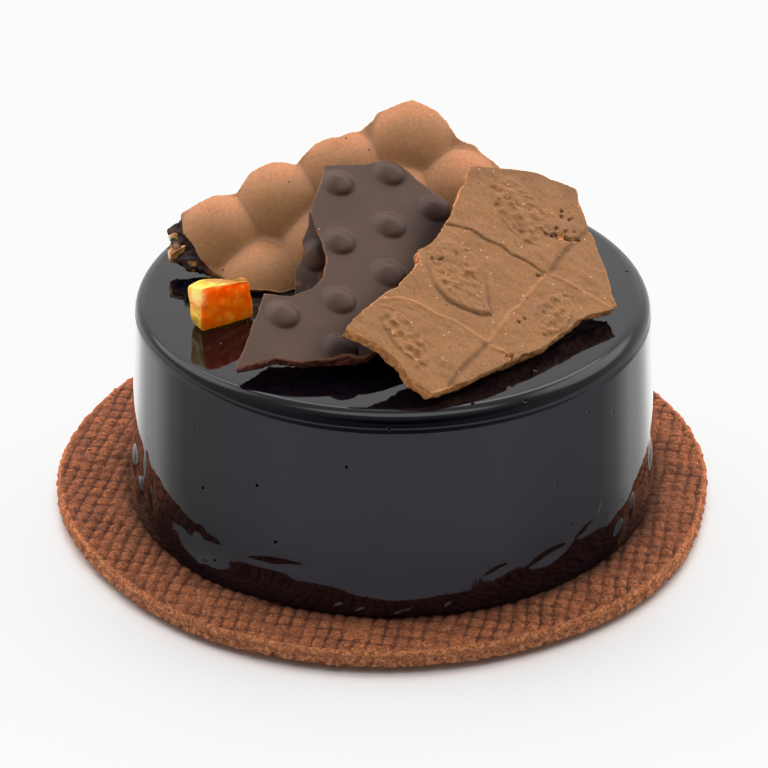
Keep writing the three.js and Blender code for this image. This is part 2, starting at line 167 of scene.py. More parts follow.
# Dents and, with a negative depth, drops on the cake's wall: angle (degrees), height (mm),
# half-width (degrees), half-height and depth (mm).
WALL_DENTS = [
    (193, 7.5, 3, 2.2, -0.4), (199, 4.6, 2.4, 2.5, -0.4), (225.4, 6.8, 1.1, 0.9, 0.16),
    (203, 10, 1.2, 2.4, 0.14), (207, 8, 0.9, 1.6, 0.12), (227.5, 2.2, 1.3, 0.6, -0.16),
    (246.6, 6.6, 7, 0.8, 0.08), (258.6, 1.3, 1, 0.35, -0.16), (263, 0.9, 1.2, 0.3, -0.14),
    (271.5, 0.8, 2, 0.3, -0.13), (280.8, 1.3, 0.7, 0.4, -0.18), (292, 6, 2.5, 0.7, 0.08),
    (304, 5.8, 4, 0.8, 0.09), (316, 7.5, 4, 1, 0.08), (319, 9.5, 0.8, 0.6, 0.12),
    (325.5, 2.7, 2.8, 1.9, -0.36), (332, 5, 1.3, 1.8, -0.26), (346, 7, 2, 3.4, -0.3),
]

# How far red, green and blue light spread in milk chocolate, as shares.
WARM_SPREAD = (1.0, 0.4, 0.15)


# ---- small helpers -----------------------------------------------------------------------

def linear(red, green, blue):
    """A colour given as 0-255 display values, as the shader's linear colour."""
    parts = [value / 255 for value in (red, green, blue)]
    return tuple(p / 12.92 if p <= 0.04045 else ((p + 0.055) / 1.055) ** 2.4 for p in parts) + (1,)


def waves(points, size, seed, count=24):
    """Smooth unevenness, mostly between -1 and 1, whose lumps are about size across."""
    rng = np.random.default_rng(seed)
    directions = rng.normal(size=(count, 3))
    directions /= np.linalg.norm(directions, axis=1, keepdims=True)
    pitch = 1.6 * size * rng.uniform(0.75, 1.5, count)
    phases = rng.uniform(0, 2 * math.pi, count)
    angles = points @ (directions * (2 * math.pi / pitch)[:, None]).T + phases
    return np.sin(angles).sum(axis=1) / math.sqrt(count)


def grains(points, size, seed):
    """Rough unevenness: three sizes of waves added up."""
    return (0.55 * waves(points, size, seed) + 0.35 * waves(points, size / 2.1, seed + 1)
            + 0.25 * waves(points, size / 4.3, seed + 2))


def smooth_step(value, low, high):
    t = np.clip((value - low) / (high - low), 0, 1)
    return t * t * (3 - 2 * t)


def bulge_at(bulges, degrees):
    """Sum of smooth bulges round a circle (m)."""
    total = np.zeros_like(degrees)
    for at, by, spread in bulges:
        away = (degrees - at + 540) % 360 - 180
        total += by * MM * np.exp(-(away / spread) ** 2)
    return total


def paint(mesh, name, values):
    """Stores a number per point, for the material to read."""
    layer = mesh.attributes.new(name, "FLOAT", "POINT")
    layer.data.foreach_set("value", np.ascontiguousarray(values, dtype=np.float32))


def line_distance(spots, line):
    """Distance from an open run of points (mm)."""
    nearest = np.full(len(spots), 1e3)
    for start, end in zip(line, line[1:]):
        start, end = np.array(start), np.array(end)
        span = end - start
        share = np.clip((spots - start) @ span / (span @ span), 0, 1)
        nearest = np.minimum(nearest, np.hypot(*(spots - start - share[:, None] * span).T))
    return nearest


def inside_outline(spots, outline):
    """Which places lie inside a closed outline."""
    inside = np.zeros(len(spots), dtype=bool)
    x, y = spots.T
    for (x0, y0), (x1, y1) in zip(outline, outline[1:] + outline[:1]):
        if y0 == y1:
            continue
        crosses = (y0 > y) != (y1 > y)
        inside ^= crosses & (x < x0 + (y - y0) / (y1 - y0) * (x1 - x0))
    return inside


def add_piece(name, mesh, material, slot, *nodes):
    """Shows a mesh as a piece of the object, in place of the solids named."""
    piece = bpy.data.objects.new(name, mesh)
    bpy.context.collection.objects.link(piece)
    mesh.materials.clear()
    mesh.materials.append(material)
    mesh.shade_smooth()
    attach(piece, BODY)
    if nodes:
        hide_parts(*nodes)
    return piece


def mesh_from(name, points, faces):
    mesh = bpy.data.meshes.new(name)
    mesh.from_pydata([tuple(p) for p in points], [], faces)
    mesh.update()
    return mesh


def get_points(mesh):
    flat = np.empty(len(mesh.vertices) * 3)
    mesh.vertices.foreach_get("co", flat)
    return flat.reshape(-1, 3)


def set_points(mesh, points):
    mesh.vertices.foreach_set("co", points.reshape(-1))
    mesh.update()


def get_normals(mesh):
    flat = np.empty(len(mesh.vertices) * 3)
    mesh.vertex_normals.foreach_get("vector", flat)
    return flat.reshape(-1, 3)


def blur(mesh, values, times):
    """Evens out a number per point with its neighbours."""
    ends = np.empty(len(mesh.edges) * 2, dtype=int)
    mesh.edges.foreach_get("vertices", ends)
    a, b = ends.reshape(-1, 2).T
    near = np.bincount(ends, minlength=len(values))
    for _ in range(times):
        total = (np.bincount(a, values[b], len(values)) + np.bincount(b, values[a], len(values)))
        values = (values + total / np.maximum(near, 1)) / 2
    return values


def fine_mesh(node, voxel):
    """The solid's own form as an even fine mesh, its facets relaxed away."""
    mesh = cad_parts[node].data.copy()
    work = bmesh.new()
    work.from_mesh(mesh)
    bmesh.ops.remove_doubles(work, verts=work.verts, dist=1e-6)
    work.to_mesh(mesh)
    work.free()
    holder = bpy.data.objects.new("holder", mesh)
    bpy.context.collection.objects.link(holder)
    remesh = holder.modifiers.new("fine", "REMESH")
    remesh.mode = "VOXEL"
    remesh.voxel_size = voxel
    smooth = holder.modifiers.new("relax", "SMOOTH")
    smooth.factor = 0.5
    smooth.iterations = 3
    shown = holder.evaluated_get(bpy.context.evaluated_depsgraph_get())
    fine = bpy.data.meshes.new_from_object(shown)
    bpy.data.objects.remove(holder)
    return fine


def slab_frame(node):
    """Origin and axes of a slab's moulded face: along, up the slope and outwards."""
    at, heading, tilt = SLABS[node]
    heading, tilt = math.radians(heading), math.radians(tilt)
    along = np.array([math.cos(heading), math.sin(heading), 0])
    upslope = np.array([-math.sin(heading) * math.cos(tilt),
                        math.cos(heading) * math.cos(tilt), math.sin(tilt)])
    origin = np.array(at) * MM + np.array([0, 0, GLAZE_TOP])
    return origin, np.stack([along, upslope, np.cross(along, upslope)])


def ring_mesh(name, rows):
    """A closed skin through rings of points, lowest outer ring first, capped at both ends."""
    count = len(rows[0])
    faces = []
    for row in range(len(rows) - 1):
        for i in range(count):
            a, b = row * count + i, row * count + (i + 1) % count
            faces.append((a, b, b + count, a + count))
    faces.append(tuple(range(count))[::-1])
    faces.append(tuple((len(rows) - 1) * count + i for i in range(count)))
    return mesh_from(name, np.concatenate(rows), faces)


# ---- material building -------------------------------------------------------------------

class Nodes:
    """Short ways to add nodes to a tree and wire them."""

    def __init__(self, tree):
        self.tree = tree

    def wire(self, value, socket):
        if isinstance(value, bpy.types.NodeSocket):
            self.tree.links.new(value, socket)
        else:
            socket.default_value = value

    def add(self, kind, inputs=None, **settings):
        node = self.tree.nodes.new("ShaderNode" + kind)
        for key, value in settings.items():
            setattr(node, key, value)
        for key, value in (inputs or {}).items():
            self.wire(value, node.inputs[key])
        return node


class Surface(Nodes):
    """A Principled material with short ways to add procedural detail."""

    def __init__(self, name, **settings):
        self.material = bpy.data.materials.new(name)
        self.material.use_nodes = True
        super().__init__(self.material.node_tree)
        self.shader = self.tree.nodes["Principled BSDF"]
        for key, value in settings.items():
            self.set(key.replace("_", " "), value)
        self.place = self.add("TexCoord").outputs["Object"]
        self.normal = None

    def set(self, name, value):
        self.wire(value, self.shader.inputs[name])

    def painted(self, name):
        return self.add("Attribute", attribute_name=name).outputs["Fac"]

    def specks(self, pitch, size, seed=0.0):
        """Small scattered spots: 1 inside them and 0 around."""
        moved = self.add("VectorMath", {0: self.place, 1: (seed, seed, seed)}, operation="ADD")
        spots = self.add("TexVoronoi", {"Scale": 1 / pitch, "Vector": moved.outputs["Vector"]})
        edge = size / pitch
        return self.ramp(spots.outputs["Distance"], [(edge * 0.6, 1.0), (edge, 0.0)])

    def noise(self, size, detail=3.0, roughness=0.55):
        return self.add("TexNoise", {"Scale": 1 / size, "Detail": detail, "Roughness": roughness,
                                     "Vector": self.place}).outputs["Fac"]

    def facing(self):
        """0 where the surface is seen head-on and 1 where it is seen edge-on."""
        return self.add("LayerWeight").outputs["Facing"]

    def cells(self, size):
        return self.add("TexVoronoi", {"Scale": 1 / size, "Vector": self.place}).outputs["Distance"]

    def ramp(self, factor, stops):
        node = self.add("ValToRGB", {"Fac": factor})
        elements = node.color_ramp.elements
        while len(elements) < len(stops):
            elements.new(0.5)
        for element, (position, color) in zip(elements, stops):
            element.position = position
            element.color = color if isinstance(color, tuple) else (color, color, color, 1)
        return node.outputs["Color"]

    def mix(self, factor, first, second):
        return self.add("Mix", {0: factor, 6: first, 7: second}, data_type="RGBA").outputs[2]

    def math(self, operation, first, second):
        return self.add("Math", {0: first, 1: second}, operation=operation).outputs[0]

    def bump(self, height, distance):
        inputs = {"Distance": distance, "Height": height}
        if self.normal is not None:
            inputs["Normal"] = self.normal
        self.normal = self.add("Bump", inputs).outputs["Normal"]
        self.set("Normal", self.normal)


def glaze_material():
    surface = Surface("mirror_glaze", IOR=1.45, Coat_Roughness=0.03, Coat_IOR=1.5)
    surface.set("Base Color", surface.ramp(surface.noise(7 * MM, 2), [
        (0.35, (0.002, 0.0016, 0.0045, 1)), (0.75, (0.0035, 0.003, 0.0075, 1))]))
    surface.set("Roughness", surface.ramp(surface.noise(12 * MM, 2), [(0.3, 0.02), (0.7, 0.045)]))
    # The wall's gloss is weaker where it turns away and strongest along its very edge.
    wall, facing = surface.painted("wall"), surface.facing()
    level = surface.ramp(facing, [
        (0.2, 0.72), (0.47, 0.25), (0.54, 0.32), (0.64, 0.85), (0.72, 0.65), (0.8, 0.75)])
    level = surface.mix(wall, (0.5, 0.5, 0.5, 1), level)
    pinholes = surface.specks(4.5 * MM, 0.34 * MM)
    level = surface.math("MULTIPLY", level, surface.math("SUBTRACT", 1.0, pinholes))
    surface.set("Specular IOR Level", level)
    surface.set("Coat Weight", surface.math(
        "MULTIPLY", wall, surface.ramp(facing, [
            (0.56, 0.0), (0.64, 0.25), (0.72, 0.3), (0.82, 0.75)])))
    # A painted cool tint in the reflections on the front of the wall.
    surface.set("Specular Tint", surface.mix(surface.painted("cool"), (1, 1, 1, 1),
                                             (0.92, 0.86, 1, 1)))
    surface.bump(surface.math("SUBTRACT", 1.0, pinholes), 0.2 * MM)
    surface.bump(surface.noise(5 * MM, 2), 0.01 * MM)
    return surface.material


def milk_material():
    surface = Surface("milk_chocolate", IOR=1.45, Subsurface_Weight=0.15,
                      Subsurface_Scale=1.0 * MM)
    surface.set("Subsurface Radius", WARM_SPREAD)
    tone = surface.ramp(surface.noise(5 * MM, 4, 0.6), [
        (0.3, linear(192, 142, 97)), (0.7, linear(208, 156, 107))])
    fine = surface.ramp(surface.noise(0.5 * MM, 3, 0.6), [
        (0.3, linear(163, 113, 76)), (0.5, linear(195, 143, 96)), (0.7, linear(218, 168, 116))])
    tone = surface.mix(0.3, tone, fine)
    # Painted shade in the creases between the domes: a darker, redder tone.
    tone = surface.mix(surface.math("MULTIPLY", surface.painted("crease_shade"), 0.35), tone,
                       linear(140, 90, 58))
    side = surface.ramp(surface.noise(1.1 * MM, 3, 0.7), [
        (0.35, linear(126, 74, 46)), (0.6, linear(170, 110, 68))])
    tone = surface.mix(surface.painted("side"), tone, side)
    # Painted highlight along the edges.
    tone = surface.mix(surface.painted("rim"), tone, linear(206, 166, 122))
    torn = surface.ramp(surface.noise(1.4 * MM, 3, 0.7), [
        (0.4, linear(36, 20, 16)), (0.55, linear(72, 38, 24)), (0.7, linear(120, 72, 44))])
    tone = surface.mix(surface.painted("torn"), tone, torn)
    tone = surface.mix(surface.specks(2.6 * MM, 0.22 * MM), tone, linear(214, 172, 128))
    tone = surface.mix(surface.specks(3.4 * MM, 0.25 * MM, 5), tone, linear(92, 56, 38))
    surface.set("Base Color", tone)
    surface.set("Roughness", surface.ramp(surface.noise(2.5 * MM, 3), [(0.3, 0.4), (0.7, 0.52)]))
    surface.bump(surface.noise(0.7 * MM, 4), 0.04 * MM)
    return surface.material


def nut_material():
    surface = Surface("roasted_nut", IOR=1.45, Roughness=0.45, Subsurface_Weight=0.2,
                      Subsurface_Scale=0.8 * MM)
    surface.set("Base Color", surface.ramp(surface.noise(1.6 * MM, 4, 0.6), [
        (0.38, linear(170, 112, 50)), (0.5, linear(226, 170, 104)), (0.6, linear(250, 232, 196))]))
    surface.bump(surface.noise(0.5 * MM, 4), 0.1 * MM)
    return surface.material


def pod_material():
    surface = Surface("printed_milk_chocolate", IOR=1.45, Subsurface_Weight=0.12,
                      Subsurface_Scale=0.8 * MM)
    surface.set("Subsurface Radius", WARM_SPREAD)
    tone = surface.ramp(surface.noise(4 * MM, 4, 0.6), [
        (0.3, linear(158, 111, 62)), (0.7, linear(174, 125, 69))])
    fine = surface.ramp(surface.noise(0.42 * MM, 3, 0.65), [
        (0.3, linear(132, 87, 50)), (0.5, linear(166, 117, 65)), (0.7, linear(194, 144, 86))])
    tone = surface.mix(0.35, tone, fine)
    # Painted shade in the dents, sunk lines, under the panel step and below the leaf's lower edge;
    # painted highlight on the raised lines.
    tone = surface.mix(surface.painted("dent_shade"), tone, linear(126, 82, 52))
    tone = surface.mix(surface.painted("ridge_highlight"), tone, linear(188, 136, 84))
    tone = surface.mix(surface.painted("band"), tone, linear(104, 60, 30))
    side = surface.ramp(surface.noise(0.8 * MM, 3, 0.7), [
        (0.35, linear(164, 104, 60)), (0.6, linear(236, 166, 102))])
    tone = surface.mix(surface.painted("side"), tone, side)
    # Painted highlight along the edges.
    tone = surface.mix(surface.painted("rim"), tone, linear(216, 166, 106))
    crumbled = surface.ramp(surface.noise(0.35 * MM, 3), [
        (0.4, linear(60, 32, 20)), (0.5, linear(124, 76, 42)), (0.6, linear(206, 146, 84))])
    tone = surface.mix(surface.painted("pit"), tone, crumbled)
    tone = surface.mix(surface.specks(1.8 * MM, 0.19 * MM), tone, linear(220, 178, 126))
    tone = surface.mix(surface.specks(3.6 * MM, 0.32 * MM, 3), tone, linear(206, 160, 106))
    tone = surface.mix(surface.specks(1.9 * MM, 0.2 * MM, 5), tone, linear(110, 66, 44))
    surface.set("Base Color", tone)
    surface.set("Roughness", surface.ramp(surface.noise(2.5 * MM, 3), [(0.3, 0.46), (0.7, 0.6)]))
    surface.bump(surface.noise(0.55 * MM, 4, 0.6), 0.07 * MM)
    return surface.material


def dark_material():
    surface = Surface("dark_chocolate", IOR=1.38)
    tone = surface.ramp(surface.noise(6 * MM, 3), [
        (0.3, linear(91, 65, 52)), (0.7, linear(100, 72, 58))])
    side = surface.ramp(surface.noise(0.9 * MM, 3, 0.7), [
        (0.35, linear(66, 34, 28)), (0.5, linear(104, 60, 46)), (0.62, linear(146, 88, 66))])
    tone = surface.mix(surface.painted("shade"), tone, linear(38, 22, 20))
    tone = surface.mix(surface.painted("torn"), tone, linear(128, 70, 40))
    tone = surface.mix(surface.painted("side"), tone, side)
    # Painted highlight along the edges.
    tone = surface.mix(surface.painted("rim"), tone, linear(168, 114, 90))
    tone = surface.mix(surface.specks(6 * MM, 0.24 * MM), tone, linear(170, 150, 136))
    surface.set("Base Color", tone)
    surface.set("Specular IOR Level", surface.mix(surface.painted("shade"), (0.5, 0.5, 0.5, 1),
                                                  (0.1, 0.1, 0.1, 1)))
    surface.set("Roughness", surface.ramp(surface.noise(2.5 * MM, 3), [(0.3, 0.38), (0.7, 0.5)]))
    surface.bump(surface.noise(0.5 * MM, 3), 0.02 * MM)
    return surface.material


def biscuit_material():
    surface = Surface("cocoa_biscuit", Roughness=0.8, IOR=1.4)
    pillow = surface.ramp(surface.noise(0.45 * MM, 3, 0.8), [
        (0.32, linear(128, 70, 49)), (0.48, linear(180, 109, 71)), (0.6, linear(206, 131, 84)),
        (0.72, linear(240, 176, 120))])
    # The grid lines are darker: their own baked tone with painted shade in them.
    channel_tone_and_shade = surface.ramp(surface.noise(0.45 * MM, 3, 0.8), [
        (0.35, linear(64, 29, 24)), (0.55, linear(112, 60, 44)), (0.7, linear(160, 100, 70))])
    tone = surface.mix(surface.painted("channel_tone_and_shade"), pillow, channel_tone_and_shade)
    blotch = surface.ramp(surface.noise(4 * MM, 3, 0.6), [(0.45, 0.0), (0.65, 0.45)])
    tone = surface.mix(blotch, tone, linear(104, 58, 44))
    # Painted shade on the biscuit next to the cake's foot.
    tone = surface.mix(surface.math("MULTIPLY", surface.painted("cake_foot_shade"), 0.75), tone,
                       linear(58, 28, 20))
    rough = surface.ramp(surface.noise(0.7 * MM, 3, 0.75), [
        (0.34, linear(118, 64, 46)), (0.5, linear(202, 130, 90)), (0.66, linear(246, 180, 126))])
    tone = surface.mix(surface.painted("side"), tone, rough)
    edge = surface.ramp(surface.noise(0.5 * MM, 3, 0.75), [
        (0.34, linear(140, 78, 52)), (0.5, linear(200, 128, 84)), (0.68, linear(240, 178, 122))])
    tone = surface.mix(surface.painted("rim"), tone, edge)
    surface.set("Base Color", tone)
    surface.bump(surface.noise(0.4 * MM, 4, 0.7), 0.2 * MM)
    return surface.material


def crumb_material():
    surface = Surface("golden_crumbs", Roughness=0.4, IOR=1.45)
    surface.set("Base Color", surface.ramp(surface.noise(1.2 * MM, 2), [
        (0.3, linear(176, 104, 54)), (0.5, linear(222, 150, 78)), (0.7, linear(240, 200, 132))]))
    return surface.material


def peel_material():
    surface = Surface("candied_orange", IOR=1.47, Subsurface_Weight=1.0,
                      Subsurface_Scale=2.6 * MM)
    surface.set("Subsurface Radius", (1.0, 0.45, 0.1))
    pores = surface.cells(1.3 * MM)
    rind = surface.ramp(pores, [
        (0.0, linear(255, 188, 76)), (0.22, linear(255, 152, 24)), (0.65, linear(252, 118, 0))])
    pith = surface.ramp(surface.noise(1.2 * MM, 4), [
        (0.34, linear(212, 160, 26)), (0.5, linear(234, 196, 66)), (0.7, linear(248, 224, 128))])
    blend = surface.math("ADD", surface.painted("rind"), surface.math(
        "MULTIPLY", surface.noise(1.0 * MM, 2), 0.3))
    tone = surface.mix(surface.ramp(blend, [(0.5, 0.0), (0.85, 1.0)]), pith, rind)
    tone = surface.mix(surface.painted("upper"), tone, linear(150, 106, 28))
    # A painted highlight on the upper part of the left face.
    tone = surface.mix(surface.painted("pale"), tone, linear(255, 244, 200))
    surface.set("Base Color", tone)
    # A painted glow: the peel gives off a little light in its own colour.
    surface.set("Emission Color", tone)
    surface.set("Emission Strength", 0.19)
    surface.set("Roughness", surface.ramp(surface.noise(0.8 * MM, 2), [(0.3, 0.1), (0.7, 0.3)]))
    surface.bump(pores, 0.1 * MM)
    return surface.material


# ---- the pieces --------------------------------------------------------------------------

# The baking mat left a grid of small pillows, turned a little; their spacing across and along.
WEAVE_TURN = math.radians(-11)
WEAVE_PITCH = (1.98 * MM, 2.4 * MM)


def weave(points):
    """Height of the mat's imprint, 0 on the pillows and -1 in the grid lines."""
    u = points[:, 0] * math.cos(WEAVE_TURN) + points[:, 1] * math.sin(WEAVE_TURN)
    v = -points[:, 0] * math.sin(WEAVE_TURN) + points[:, 1] * math.cos(WEAVE_TURN)
    u = u + 0.2 * MM * waves(points, 5 * MM, 5)
    v = v + 0.2 * MM * waves(points, 6 * MM, 6)
    across = np.abs(np.cos(math.pi * u / WEAVE_PITCH[0]))
    along = np.abs(np.cos(math.pi * v / WEAVE_PITCH[1]))
    return across ** 0.55 * (0.15 + 0.85 * along ** 0.5) - 1


def biscuit_lift(points, rim_distance):
    """How far the biscuit's top stands up or in at a place (m)."""
    clear = smooth_step(rim_distance, 0.5 * MM, 1.3 * MM)
    patchy = np.clip(0.9 + 0.3 * waves(points, 5 * MM, 9), 0.4, 1.15)
    crumb = 0.12 * MM * grains(points, 0.9 * MM, 21) - 0.12 * MM
    return 0.5 * MM * weave(points) * clear * patchy + crumb


def biscuit():
    """The disc, with the imprint of its baking mat, a crumbly edge and a rough side."""
    count = 1150
    degrees = np.arange(count) / count * 360
    angle = np.radians(degrees)
    reach = BISCUIT_RADIUS + bulge_at(BISCUIT_BULGES, degrees)
    circle = np.stack([np.cos(angle), np.sin(angle), np.zeros(count)], axis=1)
    rows, distances = [], []

    def row(inset, z):
        ring = circle * (reach - inset)[:, None]
        ring[:, 2] = z
        rows.append(ring)
        distances.append(np.full(count, inset))

    row(30 * MM, 0)
    row(2.6 * MM, 0)
    for z, inset in ((0.05, 2.3), (0.35, 1.9), (0.6, 1.3), (0.8, 0.7), (1.0, 0.2)):
        row(inset * MM, z * MM)
    side_foot, side_top = 1.15 * MM, BISCUIT_TOP - BISCUIT_EDGE
    for z in np.linspace(side_foot, side_top, 8):
        hollow = math.sin(math.pi * (z - side_foot) / (side_top - side_foot))
        row(0.22 * MM * hollow, z)
    for turn in np.linspace(0, math.pi / 2, 7)[1:]:
        row(BISCUIT_EDGE * (1 - math.cos(turn)), side_top + BISCUIT_EDGE * math.sin(turn))
    for inset in np.arange(1.35, 13.5, 0.27):
        row(inset * MM, BISCUIT_TOP)
    row(30 * MM, BISCUIT_TOP)
    mesh = ring_mesh("biscuit", rows)
    points = get_points(mesh)
    normals = get_normals(mesh)
    rim_distance = np.concatenate(distances)
    upper = smooth_step(points[:, 2], BISCUIT_TOP - 0.3 * MM, BISCUIT_TOP - 0.05 * MM)
    side = 0.2 * MM * grains(points, 1.0 * MM, 22) - 0.12 * MM
    lift = upper * biscuit_lift(points, rim_distance) + (1 - upper) * side
    lift[points[:, 2] < 0.1 * MM] = 0
    clear = smooth_step(rim_distance, 0.5 * MM, 1.3 * MM)
    patchy = np.clip(0.8 + 0.4 * waves(points, 4 * MM, 23), 0.1, 1)
    # Painted shade, with the darker baked tone, in the mat's grid lines.
    paint(mesh, "channel_tone_and_shade", upper * clear * patchy * smooth_step(-weave(points), 0.3, 0.8))
    from_cake = np.hypot(*(points[:, :2] - CAKE_CENTRE[:2]).T) - CAKE_FOOT
    # Painted shade on the biscuit, fading out from the cake's foot.
    paint(mesh, "cake_foot_shade", upper * np.exp(-np.maximum(from_cake, 0) / (1.3 * MM)))
    height = points[:, 2] + 0.25 * MM * waves(points, 1.4 * MM, 24)
    paint(mesh, "side", (1 - upper) * smooth_step(-height, -2.7 * MM, -2.2 * MM))
    paint(mesh, "rim", np.maximum(
        smooth_step(height, BISCUIT_TOP - 1.2 * MM, BISCUIT_TOP - 0.7 * MM)
        * (1 - smooth_step(rim_distance, 0.4 * MM, 1.1 * MM)),
        0.7 * smooth_step(-height, -0.95 * MM, -0.7 * MM)))
    points += normals * lift[:, None]
    points[:, 2] = np.clip(points[:, 2], 0, BISCUIT_TOP)
    set_points(mesh, points)
    return add_piece("biscuit", mesh, biscuit_material(), "biscuit", "biscuit_base")


def cake():
    """The glazed cake: straight wall, soft rim, and drops and dents low on the wall."""
    count = 720
    degrees = np.arange(count) / count * 360
    angle = np.radians(degrees)
    circle = np.stack([np.cos(angle), np.sin(angle), np.zeros(count)], axis=1)
    height = GLAZE_TOP - BISCUIT_TOP
    foot = 0.15 * MM
    run = 0.9 * np.maximum(bulge_at(FOOT_RUNS, degrees), 0)
    flare = bulge_at([FOOT_FLARE], degrees)
    rim = RIM_ROUND + bulge_at([RIM_SHARPER], degrees)
    rows = []

    def row(radius, z):
        ring = circle * (radius * np.ones(count))[:, None]
        ring[:, 2] = BISCUIT_TOP + z
        rows.append(ring + CAKE_CENTRE)

    def wall(z):
        """Wall radius, with the swelling of the runs, whose lowest part is upright."""
        plain = CAKE_WALL_FOOT + (CAKE_TOP_RADIUS - CAKE_WALL_FOOT) * z / height
        plain = plain + flare * (1 - smooth_step(z, 1.2 * MM, 6.5 * MM))
        return plain + run * (1 - smooth_step(z, 0.9 * MM, 4.2 * MM))

    row(wall(0) - 4 * MM, 0.02 * MM)
    row(wall(0) - foot, 0.02 * MM)
    for share in np.linspace(0, 1, 110) ** 1.4:
        z = foot + (height - rim - foot) * share
        row(wall(z), z)
    for turn in np.linspace(0, math.pi / 2, 16)[1:]:
        row(CAKE_TOP_RADIUS - rim * (1 - math.cos(turn)), height - rim * (1 - math.sin(turn)))
    for radius in np.linspace(CAKE_TOP_RADIUS - RIM_ROUND - 0.5 * MM, 1.5 * MM, 44):
        row(radius, height)
    mesh = ring_mesh("glazed_cake_skin", rows)
    points = get_points(mesh)
    normals = get_normals(mesh)
    low = points[:, 2] - BISCUIT_TOP
    lift = 0.03 * MM * waves(points, 16 * MM, 31)
    # Thin runs down the left of the foot, where less glaze has flowed.
    away = points - CAKE_CENTRE
    turn = np.degrees(np.arctan2(away[:, 1], away[:, 0])) % 360
    streaky = np.exp(-((turn - 196) / 14) ** 2) * np.exp(-((low - 6 * MM) / (4 * MM)) ** 2)
    lift += 0.1 * MM * streaky * grains(points * np.array([1, 1, 0.35]), 2.6 * MM, 33)
    for at, z, half_width, half_height, depth in WALL_DENTS:
        across = ((turn - at + 540) % 360 - 180) / half_width
        reach = across ** 2 + ((low / MM - z - 0.5 * across) / half_height) ** 2
        lift -= depth * MM * np.exp(-reach ** 2)
    # The lower wall is a little wavy, which shows in what it mirrors.
    near_foot = np.exp(-((low - 5 * MM) / (4 * MM)) ** 2)
    lift += 0.1 * MM * near_foot * waves(points * np.array([1, 1, 1.3]), 9 * MM, 35)
    lift += 0.05 * MM * near_foot * waves(points, 4 * MM, 37)
    points += normals * lift[:, None]
    points[:, 2] = np.clip(points[:, 2], BISCUIT_TOP, GLAZE_TOP)
    set_points(mesh, points)
    wall_share = 1 - smooth_step(points[:, 2], GLAZE_TOP - 3 * MM, GLAZE_TOP - 1.2 * MM)
    paint(mesh, "wall", wall_share)
    # Where the wall's reflections get the painted cool tint.
    front = smooth_step(turn, 215, 245) * (1 - smooth_step(turn, 325, 345))
    paint(mesh, "cool", wall_share * front)
    return add_piece("cake", mesh, glaze_material(), "glaze", "glazed_cake")


def dress_slab(name, node, material, slot, voxel, seed, relief, roughness, settle=None):
    """A piece of chocolate: true relief on its face and crumbly broken sides.

    The seed and the roughness (mm) are for the broken sides; settle, where given, says how
    far a place runs on down the slope.
    """
    mesh = fine_mesh(node, voxel)
    origin, axes = slab_frame(node)
    points = get_points(mesh)
    local = (points - origin) @ axes.T
    if settle:
        local[:, 1] -= settle(local / MM) * MM
    facing = get_normals(mesh) @ axes[2]
    moulded = smooth_step(facing, 0.3, 0.55) * smooth_step(local[:, 2], -0.6 * MM, -0.25 * MM)
    height, paints = relief(local / MM, moulded)
    local[:, 2] += moulded * (height * MM - local[:, 2])
    points = origin + local @ axes
    set_points(mesh, points)
    normals = get_normals(mesh)
    lift = (1 - moulded) * roughness * MM * grains(points, 1.2 * MM, seed)
    lift += moulded * 0.02 * MM * waves(points, 5 * MM, seed + 7)
    points = points + normals * lift[:, None]
    points[:, 2] = np.maximum(points[:, 2], GLAZE_TOP + 0.02 * MM)
    set_points(mesh, points)
    paint(mesh, "side", 1 - moulded)
    # A painted highlight along the edge where the moulded face meets the broken sides, patchy along
    # its length.
    blurred = blur(mesh, moulded, 5)
    patchy = np.clip(0.7 + 0.4 * waves(points, 4 * MM, seed + 3), 0.15, 1)
    paint(mesh, "rim", patchy * smooth_step(4 * blurred * (1 - blurred), 0.35, 0.9))
    for key, values in paints.items():
        paint(mesh, key, values)
    return add_piece(name, mesh, material, slot, node)


def milk_relief(spots, moulded):
    """Height of the joined domes over the moulded face (mm), painted crease shade and the torn end.
    """
    softness = 0.42
    height = np.zeros(len(spots))
    highest, second = np.zeros(len(spots)), np.zeros(len(spots))
    for x, y, rim in MILK_DOMES:
        radius = (rim ** 2 + MILK_DOME_HEIGHT ** 2) / (2 * MILK_DOME_HEIGHT)
        away = np.hypot(spots[:, 0] - x, spots[:, 1] - y)
        ball = np.sqrt(np.maximum(radius ** 2 - away ** 2, 0)) + MILK_DOME_HEIGHT - radius
        height = np.logaddexp(height / softness, ball / softness) * softness
        second = np.maximum(second, np.minimum(highest, ball))
        highest = np.maximum(highest, ball)
    # Painted shade along the creases, where two domes meet.
    crease_shade = moulded * np.exp(-((highest - second) / 0.35) ** 2)
    torn = (1 - moulded) * smooth_step(3.2 - spots[:, 0] + 0.3 * waves(spots, 1.4, 64), 0, 1)
    return height - 0.1, {"crease_shade": crease_shade, "torn": torn}


def milk_settle(spots):
    """How far the lower edge runs on down to the glaze (mm)."""
    level = smooth_step(spots[:, 0], 4, 8) * (1 - smooth_step(spots[:, 0], 38, 43))
    return 2.2 * level * smooth_step(-spots[:, 1], -0.8, 2.2)


